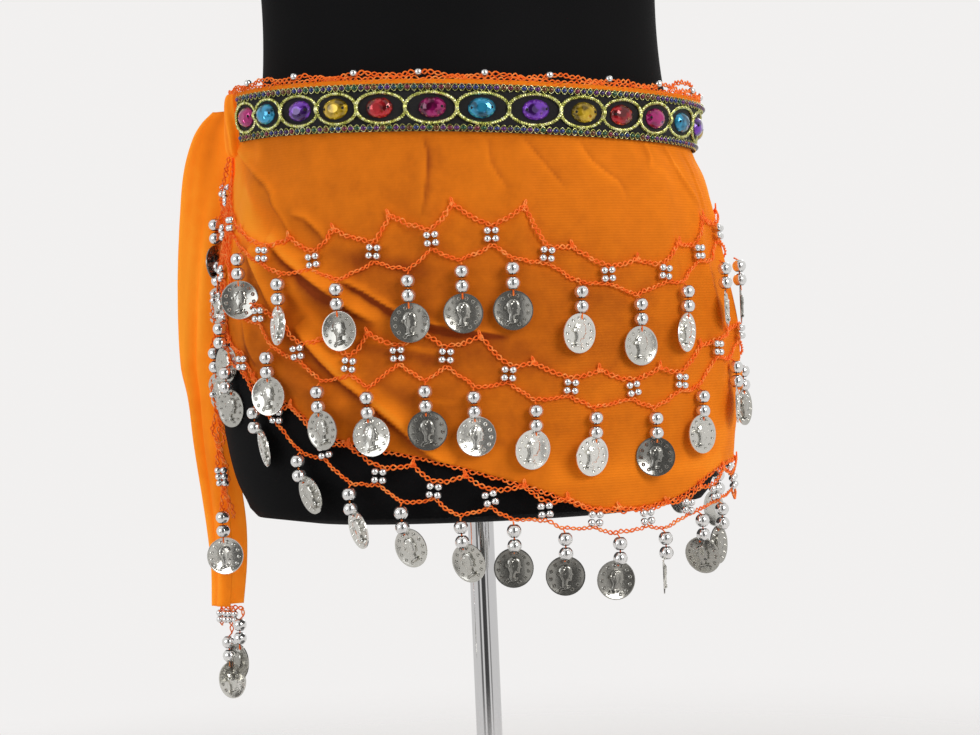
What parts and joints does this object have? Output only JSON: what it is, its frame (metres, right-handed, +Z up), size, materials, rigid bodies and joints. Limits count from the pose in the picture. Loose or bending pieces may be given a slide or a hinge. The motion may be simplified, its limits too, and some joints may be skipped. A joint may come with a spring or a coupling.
{
  "type": "belly dance hip scarf on a limbless dress form",
  "caption": "Orange chiffon hip scarf with jewelled velvet ribbon and crochet rows of coins, tied at the hip of a black limbless dress form on a pole stand.",
  "frame": {"origin": "centre of the stand's flat underside, on the pole's axis", "axes": "+Z up along the pole, -Y towards the viewer of the picture, +X to that viewer's right"},
  "size_m": [0.3805, 0.3, 1.055],
  "materials": {
    "stand_paint": "satin black powder coat",
    "pole_chrome": "polished chrome plate",
    "jersey": "matt black stretch jersey over foam",
    "chiffon": "sheer orange chiffon with fine cross weave",
    "velvet": "short black velvet pile",
    "crochet": "twisted orange crochet yarn",
    "gold_cord": "metallised gold cord",
    "stones": "clear coloured acrylic with foiled backs",
    "silver": "bright plated beads and stamped coins"
  },
  "bodies": {
    "root": {"stand_base": "stand_paint", "stand_pole": "pole_chrome", "form_torso": "jersey", "wrap": "chiffon", "knot": "chiffon", "tail": "chiffon", "jewel_band": "velvet", "edge_cord": "crochet", "row1_front": "crochet", "row1_back": "crochet", "row2_front": "crochet", "row2_back": "crochet", "row3_front": "crochet", "row3_back": "crochet", "tail_trim": "crochet", "tail_tip": "crochet"}
  },
  "joints": []
}
